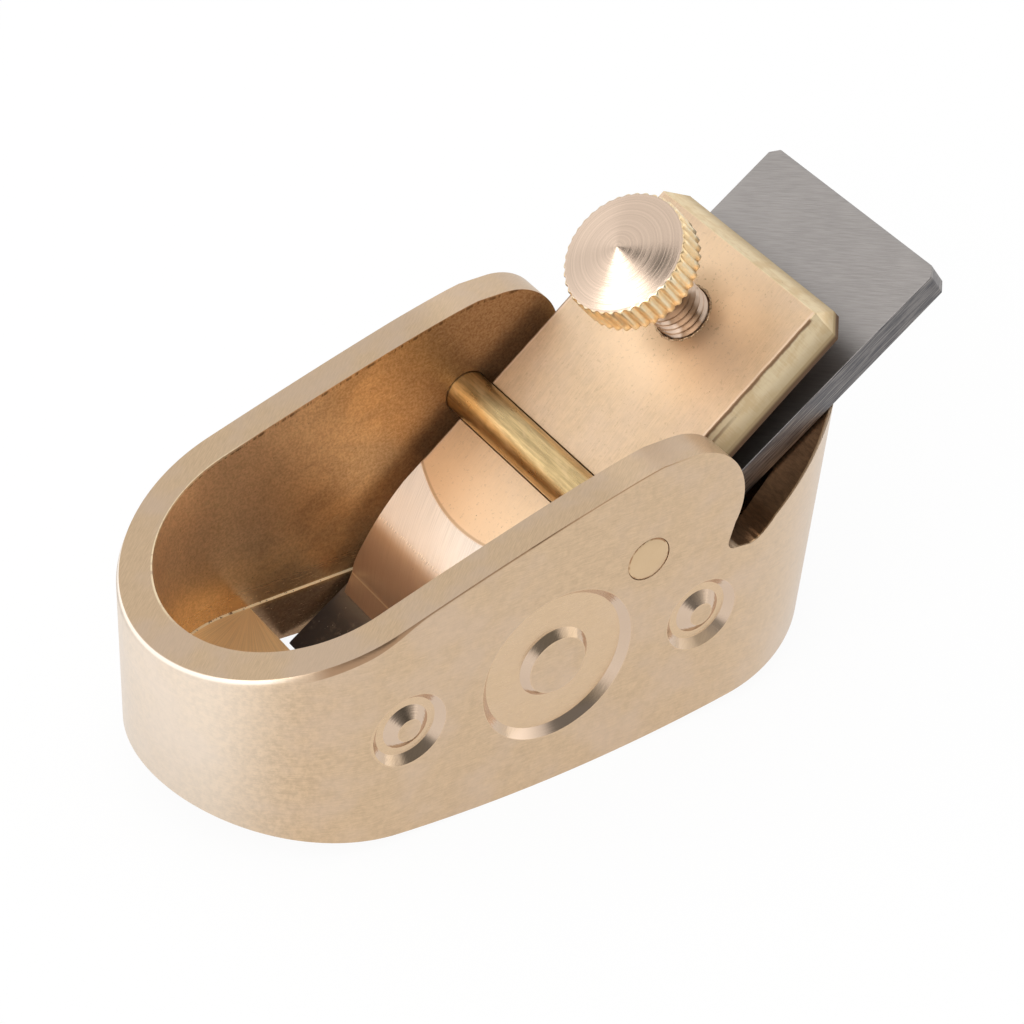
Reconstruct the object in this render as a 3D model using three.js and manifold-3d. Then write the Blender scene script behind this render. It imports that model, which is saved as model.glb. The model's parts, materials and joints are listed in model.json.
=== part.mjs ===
// Brass finger plane for instrument makers, in millimetres, +Z up, toe towards +X.
// The origin is on the lowest line of the convex sole, midway across the body.
import * as THREE from 'three';
import { mergeVertices } from 'three/addons/utils/BufferGeometryUtils.js';
import Module from 'manifold-3d';

const wasm = await Module();
wasm.setup();

// Running gap between pieces that touch, and the overrun of every cutting tool
const seatGap = 0.3;
const overrun = 2;
const weldGap = 0.001;

// Body casting: overall form
const bodyWidth = 30;
const toeReach = 31.2;
const heelReach = 34.8;
const reachHeight = 20;
const draftShare = 0.045;
const wallThickness = 3;
const soleRadius = 132;
const floorHeight = 5.2;

// Rim of the body, seen from the side
const toeHeight = 17.4;
const crestHeight = 29.9;
const crestSetback = 9;
const rimSweepPower = 1.15;
const humpRadius = 6.3;
const humpSetback = 11.65;
const humpEndDegrees = 205;
const hookRadius = 0.85;
const hookSetback = 17.75;
const hookHeight = 18.9;
const hookStartDegrees = 20;
const hookEndDegrees = -100;
const notchFloorHeight = 17.9;
const notchFloorSetback = 19.3;
const notchTurnSetback = 20.3;
const notchEndSetback = 22;

// Steep bevel round the outer edge of the rim, fullest at the toe
const bevelInset = 0.2;
const bevelDrop = 0.65;
const bevelStartSetback = 3;
const bevelFadeShare = 0.2;

// Throat, mouth and bed
const throatFrontReach = 13.3;
const mouthFrontReach = 10.7;
const mouthRearReach = 2.6;
const throatLedge = 0.2;
const rampSetback = 10;
const edgeReach = 9.6;
const edgeProjection = 0.25;
const bedDegrees = 36.6;

// Turned finger wells in both sides
const wellDepth = 0.65;
const largeWellReach = 0.1;
const largeWellHeight = 12.7;
const largeWellRadius = 7.48;
const largeWellShares = { floor: 0.904, bossBase: 0.455, bossTop: 0.373 };
const smallWellReach = 14.75;
const smallWellSetback = 14.85;
const smallWellHeight = 12;
const smallWellRadius = 3.58;
const smallWellShares = { floor: 0.8, bossBase: 0.6, bossTop: 0.31 };

// Cross pin
const pinRadius = 2;
const pinSetback = 8.4;
const pinHeight = 20.55;
const pinHoleGap = 0.1;
const pinGrooveGap = 0.12;

// Cutting iron
const ironSideGap = 0.75;
const ironLength = 61.5;
const ironThickness = 2.7;
const ironCornerCut = 0.8;
const grindDegrees = 25;

// Lever cap, measured along its top face from the cross pin and square to that face
const capDegrees = 40.5;
const capTopDrop = 0.2;
const capThickness = 3.5;
const capTail = 24.4;
const capSideGap = 0.43;
const capEndBevel = 1.3;
const capSideBevel = 0.92;
const capBevelDepth = 2.4;
const capCornerCut = 1.5;
const noseStart = 9;
const noseCrease = 18.5;
const noseCreaseDrop = 3.2;
const noseEnd = 20.3;
const nosePad = 1.3;
const noseRelief = 6.5;
const noseTaperStart = 9.5;
const noseSideGap = 1.5;
const noseCurvePower = 2.4;

// Thumb screw, measured along its axis from the cap's top face
const screwSetback = 17.4;
const threadRadius = 2.45;
const threadGap = 0.12;
const threadTipBevel = 0.5;
const headClearance = 7.85;
const headThickness = 3.15;
const headRadius = 5.7;
const headConeRise = 1.15;
const headUnderBevel = 0.12;
const splineDepth = 0.34;
const splineCount = 40;

// Fineness of the curves
const endSteps = 40;
const rimSteps = 36;
const soleSteps = 40;
const wellSteps = 80;
const smallWellSteps = 56;
const roundSteps = 48;
const noseSteps = 24;

const halfWidth = bodyWidth / 2;
const hollowHalf = halfWidth - wallThickness;
const ironHalf = hollowHalf - ironSideGap;
const bedAngle = THREE.MathUtils.degToRad(bedDegrees);
const capAngle = THREE.MathUtils.degToRad(capDegrees);

// Points of a path, with those that repeat where two curves meet left out
function pathPoints(path, steps) {
  const points = path.getPoints(steps);
  return points.filter((point, i) => point.distanceTo(points.at(i - 1)) > weldGap);
}

// A closed three.js geometry as a solid for cutting and joining, and back
function toSolid(geometry) {
  const bare = geometry.clone();
  bare.deleteAttribute('normal');
  bare.deleteAttribute('uv');
  const merged = mergeVertices(bare);
  const mesh = new wasm.Mesh({
    numProp: 3,
    vertProperties: new Float32Array(merged.attributes.position.array),
    triVerts: new Uint32Array(merged.index.array),
  });
  return new wasm.Manifold(mesh);
}

function toGeometry(solid) {
  const mesh = solid.getMesh();
  const geometry = new THREE.BufferGeometry();
  geometry.setAttribute('position', new THREE.BufferAttribute(mesh.vertProperties, mesh.numProp));
  geometry.setIndex(new THREE.BufferAttribute(mesh.triVerts, 1));
  const faceted = geometry.toNonIndexed();
  faceted.computeVertexNormals();
  return faceted;
}

// A solid through a stack of like outlines: place puts a point of outline number i in space
function loft(outlines, place) {
  const count = outlines[0].length;
  const points = outlines.flatMap((outline, i) => outline.map((point) => place(point, i)));
  const index = [];
  for (let i = 0; i + 1 < outlines.length; i += 1) {
    for (let j = 0; j < count; j += 1) {
      const next = (j + 1) % count;
      const low = i * count;
      const high = low + count;
      index.push(low + j, low + next, high + next, low + j, high + next, high + j);
    }
  }
  const last = (outlines.length - 1) * count;
  for (const [a, b, c] of THREE.ShapeUtils.triangulateShape(outlines[0], [])) {
    index.push(a, c, b);
  }
  for (const [a, b, c] of THREE.ShapeUtils.triangulateShape(outlines[outlines.length - 1], [])) {
    index.push(last + a, last + b, last + c);
  }
  const geometry = new THREE.BufferGeometry().setFromPoints(points);
  geometry.setIndex(index);
  return toSolid(geometry);
}

// A side outline, drawn in X and Z, carried across the body to the given half width
function acrossBody(outline, half) {
  const geometry = new THREE.ExtrudeGeometry(new THREE.Shape(outline), {
    depth: 2 * half,
    bevelEnabled: false,
  });
  geometry.rotateX(Math.PI / 2);
  geometry.translate(0, half, 0);
  return toSolid(geometry);
}

// A round bar along Y
function crossBar(radius, length, steps) {
  return new THREE.CylinderGeometry(radius, radius, length, steps);
}

// Heights over the ground: sole, cutting edge, rim and bed, at a distance x from the origin
function soleAt(x) {
  return soleRadius - Math.sqrt(soleRadius ** 2 - x ** 2);
}

function edgeHeight() {
  return soleAt(edgeReach) - edgeProjection;
}

function rimAt(x) {
  const along = Math.max(0, (x + crestSetback) / (toeReach + crestSetback));
  return crestHeight - (crestHeight - toeHeight) * along ** rimSweepPower;
}

function bedAt(x) {
  const sunk = (ironThickness + seatGap) / Math.cos(bedAngle);
  return edgeHeight() + (edgeReach - x) * Math.tan(bedAngle) - sunk;
}

// Where the bed comes up to a height
function bedReach(height) {
  return edgeReach - (height - bedAt(edgeReach)) / Math.tan(bedAngle);
}

// Centres of the round ends at one height, drawn in by the draft
function toeCentreAt(height) {
  return toeReach - halfWidth + draftShare * (height - reachHeight);
}

function heelCentreAt(height) {
  return halfWidth - heelReach - draftShare * (height - reachHeight);
}

// Plan of the body at one height: straight sides and round ends
function bodyPlan(inset, height) {
  const radius = halfWidth - inset;
  const plan = new THREE.Path();
  plan.absarc(toeCentreAt(height), 0, radius, -Math.PI / 2, Math.PI / 2, false);
  plan.absarc(heelCentreAt(height), 0, radius, Math.PI / 2, 1.5 * Math.PI, false);
  return pathPoints(plan, endSteps);
}

function bodyShell(inset, low, high) {
  const heights = [low, high];
  const plans = heights.map((height) => bodyPlan(inset, height));
  return loft(plans, (point, i) => new THREE.Vector3(point.x, point.y, heights[i]));
}

// Side outline of the body: rim, hump, hooked notch, bed and convex sole
function bodySide() {
  const front = toeReach + overrun;
  const back = heelReach + overrun;
  const side = new THREE.Path();
  side.moveTo(front, rimAt(front));
  for (let i = 1; i <= rimSteps; i += 1) {
    const x = THREE.MathUtils.lerp(front, -crestSetback, i / rimSteps);
    side.lineTo(x, rimAt(x));
  }
  const humpEnd = THREE.MathUtils.degToRad(humpEndDegrees);
  side.absarc(-humpSetback, crestHeight - humpRadius, humpRadius, Math.PI / 2, humpEnd, false);
  const hookStart = THREE.MathUtils.degToRad(hookStartDegrees);
  const hookEnd = THREE.MathUtils.degToRad(hookEndDegrees);
  side.absarc(-hookSetback, hookHeight, hookRadius, hookStart, hookEnd, true);
  side.lineTo(-notchFloorSetback, notchFloorHeight);
  side.quadraticCurveTo(-notchTurnSetback, notchFloorHeight, -notchEndSetback, bedAt(-notchEndSetback));
  side.lineTo(-back, bedAt(-back));
  for (let i = 0; i <= soleSteps; i += 1) {
    const x = THREE.MathUtils.lerp(-back, front, i / soleSteps);
    side.lineTo(x, soleAt(x));
  }
  return pathPoints(side, roundSteps / 3);
}

// Hollow above the floor and the bed
function hollowSide() {
  const front = toeReach + overrun;
  const back = heelReach + overrun;
  const top = crestHeight + overrun;
  return [
    new THREE.Vector2(front, floorHeight),
    new THREE.Vector2(front, top),
    new THREE.Vector2(-back, top),
    new THREE.Vector2(-back, floorHeight),
    new THREE.Vector2(-rampSetback, floorHeight),
    new THREE.Vector2(-rampSetback, bedAt(-rampSetback)),
    new THREE.Vector2(bedReach(floorHeight), floorHeight),
  ];
}

// Throat from the floor down through the sole, with the ramp under the iron on its rear side
function throatSide() {
  const low = soleAt(mouthFrontReach) - overrun;
  const slope = (throatFrontReach - mouthFrontReach) / (floorHeight - soleAt(mouthFrontReach));
  const high = floorHeight + overrun;
  return [
    new THREE.Vector2(throatFrontReach, floorHeight),
    new THREE.Vector2(throatFrontReach, high),
    new THREE.Vector2(bedReach(high), high),
    new THREE.Vector2(mouthRearReach, bedAt(mouthRearReach)),
    new THREE.Vector2(mouthRearReach, low),
    new THREE.Vector2(mouthFrontReach - slope * overrun, low),
  ];
}

// Ring cutter of one finger well, revolved about Y with the side face at its zero
function wellCutter(radius, shares, steps) {
  const outline = [
    new THREE.Vector2(shares.bossTop * radius, overrun),
    new THREE.Vector2(shares.bossTop * radius, 0),
    new THREE.Vector2(shares.bossBase * radius, -wellDepth),
    new THREE.Vector2(shares.floor * radius, -wellDepth),
    new THREE.Vector2(radius, 0),
    new THREE.Vector2(radius, overrun),
  ];
  return new THREE.LatheGeometry([...outline, outline[0]], steps);
}

function wellCutters() {
  const wells = [
    [largeWellReach, largeWellHeight, largeWellRadius, largeWellShares, wellSteps],
    [smallWellReach, smallWellHeight, smallWellRadius, smallWellShares, smallWellSteps],
    [-smallWellSetback, smallWellHeight, smallWellRadius, smallWellShares, smallWellSteps],
  ];
  const cutters = [];
  for (const [x, height, radius, shares, steps] of wells) {
    const near = wellCutter(radius, shares, steps).translate(x, halfWidth, height);
    const far = wellCutter(radius, shares, steps).rotateX(Math.PI).translate(x, -halfWidth, height);
    cutters.push(toSolid(near), toSolid(far));
  }
  return cutters;
}

// Three-cornered strip that takes off the outer edge of the rim, fading out towards the hump
function bevelCutter() {
  const centre = toeCentreAt(toeHeight);
  const straight = [];
  for (let i = 0; i < rimSteps; i += 1) {
    straight.push(THREE.MathUtils.lerp(-bevelStartSetback, centre, i / rimSteps));
  }
  const toe = new THREE.Path().absarc(centre, 0, halfWidth, Math.PI / 2, -Math.PI / 2, true);
  const stations = [
    ...straight.map((x) => new THREE.Vector2(x, halfWidth)),
    ...pathPoints(toe, endSteps),
    ...straight.reverse().map((x) => new THREE.Vector2(x, -halfWidth)),
  ];
  const outlines = stations.map((point) => {
    const along = (point.x + bevelStartSetback) / (toeReach + bevelStartSetback);
    const share = (1 + bevelFadeShare) * Math.sqrt(Math.max(0, along)) - bevelFadeShare;
    return [
      new THREE.Vector2(bevelInset, -bevelDrop * (1 + share)),
      new THREE.Vector2(bevelInset, bevelDrop),
      new THREE.Vector2(-bevelInset * (1 + share), bevelDrop),
    ];
  });
  return loft(outlines, (corner, i) => {
    const point = stations[i];
    const middle = new THREE.Vector2(Math.min(point.x, centre), 0);
    const outward = point.clone().sub(middle).normalize();
    return new THREE.Vector3(
      point.x + outward.x * corner.x,
      point.y + outward.y * corner.x,
      rimAt(point.x) + corner.y,
    );
  });
}

function makeBody() {
  const top = crestHeight + overrun;
  const high = top + overrun;
  const outside = bodyShell(0, -overrun, top);
  const hollow = bodyShell(wallThickness, -overrun, high);
  const throatHalf = hollowHalf - throatLedge;
  const pinHole = crossBar(pinRadius + pinHoleGap, bodyWidth + overrun, roundSteps);
  pinHole.translate(-pinSetback, 0, pinHeight);
  let body = outside.intersect(acrossBody(bodySide(), halfWidth + overrun));
  body = body.subtract(hollow.intersect(acrossBody(hollowSide(), halfWidth)));
  body = body.subtract(acrossBody(throatSide(), throatHalf));
  body = body.subtract(bevelCutter());
  body = body.subtract(toSolid(pinHole));
  for (const cutter of wellCutters()) {
    body = body.subtract(cutter);
  }
  return toGeometry(body);
}

// Iron: ground on its lower side, lying along X with its cutting edge at the origin
function makeIron() {
  const grind = ironThickness / Math.tan(THREE.MathUtils.degToRad(grindDegrees));
  const side = [
    new THREE.Vector2(0, 0),
    new THREE.Vector2(-ironLength, 0),
    new THREE.Vector2(-ironLength, -ironThickness),
    new THREE.Vector2(-grind, -ironThickness),
  ];
  const half = ironHalf;
  const plan = new THREE.Shape([
    new THREE.Vector2(overrun, -half),
    new THREE.Vector2(overrun, half),
    new THREE.Vector2(ironCornerCut - ironLength, half),
    new THREE.Vector2(-ironLength, half - ironCornerCut),
    new THREE.Vector2(-ironLength, ironCornerCut - half),
    new THREE.Vector2(ironCornerCut - ironLength, -half),
  ]);
  const block = new THREE.ExtrudeGeometry(plan, { depth: 2 * ironThickness, bevelEnabled: false });
  block.translate(0, 0, -1.5 * ironThickness);
  return toGeometry(toSolid(block).intersect(acrossBody(side, half + overrun)));
}

// Height of the iron's top face in the lever cap's own frame, at a distance along the cap
function ironUnderCap(along) {
  const pinOverEdge = pinHeight - edgeHeight();
  const pinBehindEdge = edgeReach + pinSetback;
  const drop = pinOverEdge * Math.cos(bedAngle) - pinBehindEdge * Math.sin(bedAngle);
  const tilt = capAngle - bedAngle;
  return along * Math.tan(tilt) - drop / Math.cos(tilt);
}

// Centre line of the polished nose: level with the top face, then ever steeper
function noseAt(along) {
  const share = Math.max(0, (along - noseStart) / (noseCrease - noseStart));
  return -capTopDrop - (noseCreaseDrop - capTopDrop) * share ** noseCurvePower;
}

function capSide() {
  const tail = capTail + capEndBevel;
  const under = -capTopDrop - capThickness;
  const padBack = noseEnd - nosePad;
  const side = [new THREE.Vector2(-tail, under), new THREE.Vector2(padBack - noseRelief, under)];
  side.push(new THREE.Vector2(padBack, ironUnderCap(padBack) + seatGap));
  side.push(new THREE.Vector2(noseEnd, ironUnderCap(noseEnd) + seatGap));
  for (let i = noseSteps; i >= 0; i -= 1) {
    const along = THREE.MathUtils.lerp(noseStart, noseCrease, i / noseSteps);
    side.push(new THREE.Vector2(along, noseAt(along)));
  }
  side.push(new THREE.Vector2(-tail, -capTopDrop));
  return side;
}

// Plan of the cap with clipped tail corners, grown outwards below its bevels
function capPlan(grow) {
  const sideHalf = hollowHalf - capSideGap + (grow - 1) * capSideBevel;
  const tail = capTail + grow * capEndBevel;
  const noseHalf = hollowHalf - noseSideGap + (grow - 1) * capSideBevel;
  const cut = capCornerCut * grow;
  return [
    new THREE.Vector2(noseEnd, -noseHalf),
    new THREE.Vector2(noseEnd, noseHalf),
    new THREE.Vector2(noseTaperStart, sideHalf),
    new THREE.Vector2(cut - tail, sideHalf),
    new THREE.Vector2(-tail, sideHalf - cut),
    new THREE.Vector2(-tail, cut - sideHalf),
    new THREE.Vector2(cut - tail, -sideHalf),
    new THREE.Vector2(noseTaperStart, -sideHalf),
  ];
}

function makeCap() {
  const levels = [-2 * capThickness, -capTopDrop - capBevelDepth, -capTopDrop];
  const plans = [capPlan(1), capPlan(1), capPlan(0)];
  const block = loft(plans, (point, i) => new THREE.Vector3(point.x, point.y, levels[i]));
  const groove = crossBar(pinRadius + pinGrooveGap, bodyWidth, roundSteps);
  const threadHole = crossBar(threadRadius + threadGap, 2 * headClearance, roundSteps);
  threadHole.rotateX(Math.PI / 2).translate(-screwSetback, 0, 0);
  let cap = block.intersect(acrossBody(capSide(), halfWidth));
  cap = cap.subtract(toSolid(groove));
  cap = cap.subtract(toSolid(threadHole));
  return toGeometry(cap);
}

// Outline of the splined head: rounded ridges round the rim
function splineOutline() {
  const outline = [];
  const steps = 6 * splineCount;
  for (let i = 0; i < steps; i += 1) {
    const turn = (2 * Math.PI * i) / steps;
    const hollow = Math.sin((splineCount * turn) / 2) ** 2;
    const radius = headRadius - splineDepth * hollow;
    outline.push(new THREE.Vector2(radius * Math.cos(turn), radius * Math.sin(turn)));
  }
  return outline;
}

// Thumb screw standing on the cap's top face: thread below, splined head with a coned face
function makeScrew() {
  const tip = ironUnderCap(-screwSetback) + seatGap + capTopDrop;
  const headTop = headClearance + headThickness;
  const lathe = [
    new THREE.Vector2(0, tip),
    new THREE.Vector2(threadRadius - threadTipBevel, tip),
    new THREE.Vector2(threadRadius, tip + threadTipBevel),
    new THREE.Vector2(threadRadius, headClearance),
    new THREE.Vector2(headRadius - headUnderBevel, headClearance),
    new THREE.Vector2(headRadius, headClearance + headUnderBevel),
    new THREE.Vector2(headRadius, headTop),
    new THREE.Vector2(0, headTop + headConeRise),
  ];
  const turned = new THREE.LatheGeometry(lathe, roundSteps);
  turned.rotateX(Math.PI / 2);
  const ridges = new THREE.ExtrudeGeometry(new THREE.Shape(splineOutline()), {
    depth: headTop + headConeRise,
    bevelEnabled: false,
  });
  ridges.translate(0, 0, headClearance - overrun);
  const shank = crossBar(headRadius - splineDepth, headClearance - tip, roundSteps);
  shank.rotateX(Math.PI / 2).translate(0, 0, (headClearance + tip) / 2 - overrun / 2);
  const envelope = toSolid(ridges).add(toSolid(shank));
  return toGeometry(toSolid(turned).intersect(envelope));
}

// One named mesh with its own finish
function piece(name, geometry, color, roughness, metalness) {
  const material = new THREE.MeshStandardMaterial({ color, roughness, metalness });
  const mesh = new THREE.Mesh(geometry, material);
  mesh.name = name;
  return mesh;
}

const plane = new THREE.Group();
plane.add(piece('body', makeBody(), 0xc9a780, 0.42, 0.9));

const pin = piece('cross_pin', crossBar(pinRadius, bodyWidth, roundSteps), 0xb8964f, 0.3, 1);
pin.position.set(-pinSetback, 0, pinHeight);
plane.add(pin);

const iron = piece('iron', makeIron(), 0x7d7977, 0.45, 0.95);
iron.position.set(edgeReach, 0, edgeHeight());
iron.rotation.y = bedAngle;
plane.add(iron);

const capGroup = new THREE.Group();
capGroup.position.set(-pinSetback, 0, pinHeight);
capGroup.rotation.y = capAngle;
capGroup.add(piece('lever_cap', makeCap(), 0xc9a783, 0.4, 0.9));
const screw = piece('thumb_screw', makeScrew(), 0xd2b294, 0.3, 1);
screw.position.set(-screwSetback, 0, -capTopDrop);
capGroup.add(screw);
plane.add(capGroup);

export default plane;
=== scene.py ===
"""Brass finger plane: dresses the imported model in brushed, turned and polished brass and ground steel."""

import json
import math
from types import SimpleNamespace

import bmesh
import bpy
import numpy as np
from mathutils import Euler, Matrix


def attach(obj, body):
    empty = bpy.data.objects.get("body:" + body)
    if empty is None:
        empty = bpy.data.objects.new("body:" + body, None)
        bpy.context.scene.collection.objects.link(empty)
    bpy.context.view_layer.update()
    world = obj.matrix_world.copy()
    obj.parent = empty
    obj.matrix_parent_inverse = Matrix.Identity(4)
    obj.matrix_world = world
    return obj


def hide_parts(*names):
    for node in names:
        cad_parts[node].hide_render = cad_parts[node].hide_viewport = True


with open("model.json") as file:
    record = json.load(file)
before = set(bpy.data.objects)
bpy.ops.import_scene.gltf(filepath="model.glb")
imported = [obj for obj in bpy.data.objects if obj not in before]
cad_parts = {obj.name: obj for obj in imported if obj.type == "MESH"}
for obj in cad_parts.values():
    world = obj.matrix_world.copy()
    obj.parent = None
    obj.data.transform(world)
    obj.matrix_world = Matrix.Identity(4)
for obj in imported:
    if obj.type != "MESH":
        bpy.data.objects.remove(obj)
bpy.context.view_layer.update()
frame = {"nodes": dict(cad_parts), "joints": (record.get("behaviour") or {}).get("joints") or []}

bl_info = {
    "name": "Brass Finger Plane",
    "version": (1, 0, 0),
    "blender": (4, 5, 0),
    "location": "3D View > Sidebar > Finger Plane",
    "description": "Builds the looks of a brass finger plane round its packed model",
    "category": "Object",
}

MM = 0.001

# Places and directions that come from the frame, places in millimetres
JOINTS = {joint["name"]: joint for joint in frame["joints"]}
ACROSS = np.array([0.0, 1.0, 0.0])
PIN_CENTRE = np.array(JOINTS["cap_rock"]["pos_m"]) / MM
CAP_UP = np.array(JOINTS["screw_travel"]["axis"])
CAP_ALONG = np.cross(ACROSS, CAP_UP)
IRON_ALONG = -np.array(JOINTS["blade_slide"]["axis"])
IRON_UP = np.cross(IRON_ALONG, ACROSS)

# The body, in millimetres
BODY_HALF = 15.0
WALL = 3.0
FLOOR = 5.2
TOE_CENTRE = 16.2
HEEL_CENTRE = -19.8
HOLLOW_ENDS = (15.53, -19.13)
NOTCH_BACK = -18.0
NOTCH_FOOT = (16.0, 17.0)
THROAT_MIDDLE = 7.0
THROAT_HALF = (7.5, 10.5)
THROAT_TOP = (8.0, 14.0)
MILL_X = 13.2
MILL_Y = -12.0

# The finger wells: place along, height, radius and the share of the radius where the plain middle ends
WELLS = (
    (0.1, 12.7, 7.48, 0.373),
    (14.75, 12.0, 3.58, 0.31),
    (-14.85, 12.0, 3.58, 0.31),
)

# The rim falls from its crest by a power of the share of its run
CREST_X = -9.0
CREST_HIGH = 29.9
RIM_RUN = 40.2
RIM_FALL = 12.5
RIM_POWER = 1.15

# Heights over which the body's finish changes
SUNK = (FLOOR - 0.5, FLOOR)
FLOOR_FACE = (FLOOR + 0.3, FLOOR + 0.6)
ABOVE_FLOOR = (FLOOR + 1.0, FLOOR + 2.0)
DULL_SKIN = (FLOOR + 1.0, FLOOR + 6.0)

# Reaches from the middle line or end centre over which it changes, from the hollow's wall to the outer wall
HOLLOW_WALL = (BODY_HALF - WALL * 0.9, BODY_HALF - WALL * 0.75)
BRIGHT_EDGE_REACH = (BODY_HALF - WALL + 0.06, BODY_HALF - WALL + 0.14)
WELL_FLOOR = (BODY_HALF - 1.2, BODY_HALF - 1.1)
REFLECTION_BAND_REACH = (BODY_HALF - 0.3, BODY_HALF - 0.2)
PIN_END = (BODY_HALF - 0.25, BODY_HALF - 0.15)
NOTCH_EDGE = (BODY_HALF - 0.24, BODY_HALF - 0.14)
NOTCH_REACH = (BODY_HALF - 0.12, BODY_HALF - 0.02)

# Parts of the surface's normal at which it changes: up for level faces, across for the wells' walls
NOT_UP = (0.3, 0.5)
PARTLY_UP = (0.3, 0.6)
QUITE_UP = (0.7, 0.9)
WELL_WALL_ACROSS = (0.93, 0.985)

# Stretches along the body over which it changes
HEEL_PAINTED_SHEEN = (-30.0, -14.0)
TOE_PAINTED_SHEEN = (23.0, 30.0)
TOE_MOTTLE = (18.0, 27.0)
HOLLOW_PAINTED_SHADE = (-8.0, 3.0)
RED_SKIN = (3.0, 16.0)
HOLLOW_PAINTED_LIGHT = (8.0, 18.0)
BARE_RIM = (-7.0, -3.0)
REFLECTION_BAND_START = (-13.0, -8.0)
REFLECTION_BAND_WIDENS = (13.0, 19.0)
REFLECTION_BAND_END = (21.6, 24.0)
SHINE_START = (24.0, 26.5)
RAG_END = (18.0, 22.0)
BRIGHT_EDGE_START = (12.0, 17.0)
BRIGHT_EDGE_SIDE = (-3.0, 2.0)

# The lever cap, along and above its flat from the pin, in millimetres
CAP_FLAT = 10.65
CAP_TAIL = 24.4
CAP_BEVEL_DEPTH = 2.4
CAP_BEVEL_END = (6.0, 8.0)
CAP_UNDER_FLAT = (-0.75, -0.45)
CAP_EASE_SHARE = 0.8
CAP_DROP = 0.2
PALE_FRONT = (0.0, 7.0)
PALE_ROUND_SCREW = (4.0, 11.0)
KNOB_REFLECTION_ROUND_SCREW = (2.8, 5.2)
SPECKS_ROUND_SCREW = (2.5, 5.0)
GOLDEN_BEVEL = (-20.0, -6.0)
DOUBLE_EDGE = (-15.0, -11.0)
NOSE_START = 9.0
NOSE_FOLD = 18.5
NOSE_BOW = 0.031
NOSE_OFFSET = -2.7
BURNISHED_END = (12.2, 14.4)
NOSE_PAINTED_REFLECTION = (12.8, 14.4)

# Reach from the pin's axis where the dark line round its ends starts
PIN_RIM_LINE = (1.86, 1.96)

# The thumb screw, above the cap's flat, in millimetres; the turn of the thread's painted shade is in radians
SCREW_BACK = 17.4
THREAD_TIP = -6.2
THREAD_EDGE = (2.6, 2.8)
HEAD_FOOT = 7.65
HEAD_TOP = 10.8
HEAD_SIDE_EDGE = (4.9, 5.2)
SPLINES = 40
THREAD_SHADE_TURN = 1.45

# The iron's grinding runs aslant: the cosine and sine of its turn. The stained end starts near the pin.
GRIND_COSINE = 0.857
GRIND_SINE = 0.515
IRON_STAIN = (-2.0, 3.5)

# The studio: parts of full white, places in millimetres, and the floor's edges in metres
PAPER_SEEN = 0.93
PAPER_MIRRORED = 0.75
# A painted pool of light on the floor, seen only in metal: where it fades in, its corner and its level
LIT_PAPER = (20.0, 46.0)
LIT_CORNER = 8.0
LIT_LEVEL = 1.45
FLOOR_EDGES = (-1.2, 1.2, -1.2, 0.1)
TENT_LEVEL = 0.95

# Each patch: bearing and height in degrees, the angles from its middle where it starts and ends to fade,
# and its brightness against the tent's
PATCHES = (
    (0, 4, 12, 62, 1.5),
    (92, 24, 22, 38, 0.24),
    (112, -6, 10, 26, 0.4),
    (-31, 55, 5, 10, 0.1),
    (-77, 20, 5, 14, 1.25),
    (168, 4, 8, 42, 1.6),
    (28, 28, 16, 26, 3.2),
)

# The lamp: bearing and height in degrees, distance and width in metres, power in watts
LAMP_BEARING = -27
LAMP_HEIGHT = 38.5
LAMP_DISTANCE = 0.5
LAMP_WIDTH = 0.205
LAMP_POWER = 0.2

# The camera: place in metres, turns in degrees, focal length and film width in millimetres
CAMERA_PLACE = (0.145075, 0.195958, 0.206515)
CAMERA_TURNS = (52.34024, -3.77663, 145.40513)
CAMERA_LENS = 128.42
CAMERA_FILM = 36.0
CAMERA_NEAR = 0.01


# Shader sums


class Socket:
    """One output of a finish's node. A sum written with it adds Math nodes."""

    def __init__(self, finish, output):
        self.finish = finish
        self.output = output

    def __add__(self, other):
        return self.finish.math("ADD", self, other)

    def __radd__(self, other):
        return self.finish.math("ADD", other, self)

    def __sub__(self, other):
        return self.finish.math("SUBTRACT", self, other)

    def __rsub__(self, other):
        return self.finish.math("SUBTRACT", other, self)

    def __mul__(self, other):
        return self.finish.math("MULTIPLY", self, other)

    def __rmul__(self, other):
        return self.finish.math("MULTIPLY", other, self)

    def __pow__(self, other):
        return self.finish.math("POWER", self, other)

    def __abs__(self):
        return self.finish.math("ABSOLUTE", self)


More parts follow.
